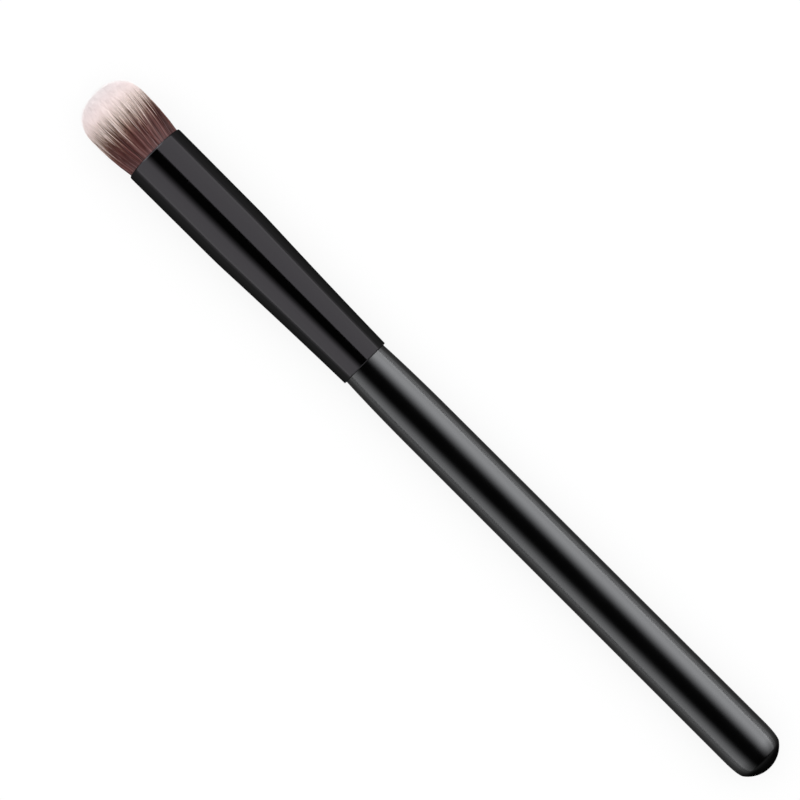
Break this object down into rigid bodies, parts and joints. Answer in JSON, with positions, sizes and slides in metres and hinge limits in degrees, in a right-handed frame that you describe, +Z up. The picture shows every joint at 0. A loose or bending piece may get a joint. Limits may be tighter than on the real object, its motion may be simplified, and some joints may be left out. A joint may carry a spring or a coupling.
{
  "type": "concealer brush",
  "caption": "Slim round makeup brush with a black lacquered handle, a tapered black ferrule and a short domed tuft with pale tips, for blending concealer.",
  "frame": {"origin": "under the middle of the brush, on the surface that it lies on", "axes": "+X along the brush from the butt to the tip of the tuft, +Z up; the axis rises by half a degree, because the tuft is wider than the handle and the brush touches the surface at both ends"},
  "size_m": [0.1598, 0.0121, 0.0122],
  "materials": {
    "lacquered_birch": "satin black lacquer",
    "black_aluminium": "gloss black anodised",
    "tuft_fibre": "soft synthetic fibre, brown at the root and pale at the tip",
    "binding_thread": "spun thread",
    "potting_epoxy": "cured epoxy",
    "wood_adhesive": "cured adhesive"
  },
  "bodies": {
    "root": {"handle": "lacquered_birch", "ferrule": "black_aluminium", "bristle_tuft": "tuft_fibre", "tuft_binding": "binding_thread", "root_potting": "potting_epoxy", "tenon_adhesive": "wood_adhesive"}
  },
  "joints": []
}
